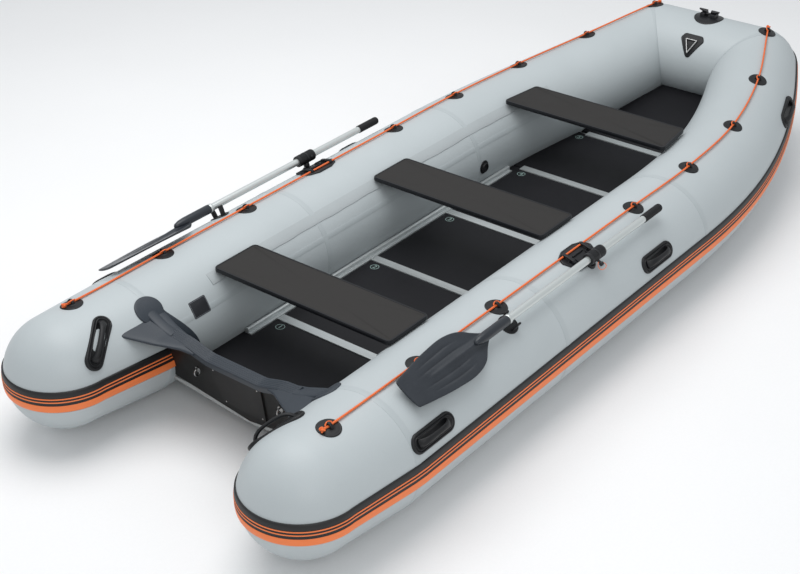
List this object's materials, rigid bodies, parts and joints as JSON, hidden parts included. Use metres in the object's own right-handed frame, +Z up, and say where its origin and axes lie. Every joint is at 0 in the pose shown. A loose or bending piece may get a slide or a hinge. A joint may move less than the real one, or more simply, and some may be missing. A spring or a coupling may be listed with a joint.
{
  "type": "inflatable fishing dinghy",
  "caption": "Inflatable fishing dinghy with side buoyancy tubes, rounded bow, notched transom, panel floor, sliding bench seats, swinging oars, grab lines and carry handles.",
  "frame": {"origin": "centre of the bounding box at its bottom, on the ground under the boat", "axes": "+X towards the bow, +Y to port, +Z up"},
  "size_m": [4.3418, 1.7288, 0.674],
  "materials": {
    "tube_fabric": "coated, satin",
    "bottom_fabric": "coated, satin",
    "strake_rubber": "ribbed, matte",
    "board": "painted, satin",
    "moulded_rubber": "satin",
    "clamp_pad": "matte",
    "steel": "polished",
    "floor_board": "fine non-slip film",
    "aluminium": "anodised, satin",
    "strip": "matte",
    "seat_board": "painted, satin",
    "black_rubber": "matte",
    "line": "braided",
    "black_plastic": "moulded, satin"
  },
  "bodies": {
    "hull": {"port_tube": "tube_fabric", "starboard_tube": "tube_fabric", "port_stern_cone": "tube_fabric", "starboard_stern_cone": "tube_fabric", "bow_tube": "tube_fabric", "rub_strake": "strake_rubber", "v_bottom": "bottom_fabric", "keel_guard": "black_rubber", "transom_board": "board", "transom_cap": "moulded_rubber", "port_transom_wing": "moulded_rubber", "starboard_transom_wing": "moulded_rubber", "outer_clamp_plate": "clamp_pad", "inner_clamp_plate": "clamp_pad", "tow_rings": "steel", "floor_panels": "floor_board", "floor_bars": "aluminium", "port_stringer": "aluminium", "starboard_stringer": "aluminium", "port_seat_strip": "strip", "starboard_seat_strip": "strip", "port_rope_eyes": "black_rubber", "starboard_rope_eyes": "black_rubber", "port_grab_line": "line", "starboard_grab_line": "line", "stern_handles": "black_rubber", "bow_fairlead": "black_plastic", "bow_shield_patch": "black_rubber", "bow_ring": "steel", "inflation_valves": "black_plastic", "port_oarlock_base": "black_plastic", "port_oar_clip": "black_rubber", "port_carry_handles": "black_rubber", "starboard_oarlock_base": "black_plastic", "starboard_oar_clip": "black_rubber", "starboard_carry_handles": "black_rubber"},
    "port_oar": {"port_oarlock_collar": "black_plastic", "port_oar_shaft": "aluminium", "port_oar_grip": "black_rubber", "port_oar_blade": "black_plastic"},
    "starboard_oar": {"starboard_oarlock_collar": "black_plastic", "starboard_oar_shaft": "aluminium", "starboard_oar_grip": "black_rubber", "starboard_oar_blade": "black_plastic"},
    "aft_thwart": {"aft_seat": "seat_board"},
    "middle_thwart": {"middle_seat": "seat_board"},
    "front_thwart": {"front_seat": "seat_board"}
  },
  "joints": [
    {"name": "port_oar_swing", "type": "hinge", "parent": "hull", "child": "port_oar", "pos_m": [-0.3885, 0.74443, 0.50924], "axis": [0, 0.309, 0.9511], "range_deg": [-110, 0]},
    {"name": "starboard_oar_swing", "type": "hinge", "parent": "hull", "child": "starboard_oar", "pos_m": [-0.3465, -0.74443, 0.50924], "axis": [0, -0.309, 0.9511], "range_deg": [0, 110]},
    {"name": "aft_seat_slide", "type": "slide", "parent": "hull", "child": "aft_thwart", "axis": [1, 0, 0], "range_m": [-0.12, 0.3]},
    {"name": "middle_seat_slide", "type": "slide", "parent": "hull", "child": "middle_thwart", "axis": [1, 0, 0], "range_m": [-0.3, 0.25]},
    {"name": "front_seat_slide", "type": "slide", "parent": "hull", "child": "front_thwart", "axis": [1, 0, 0], "range_m": [-0.15, 0]}
  ]
}
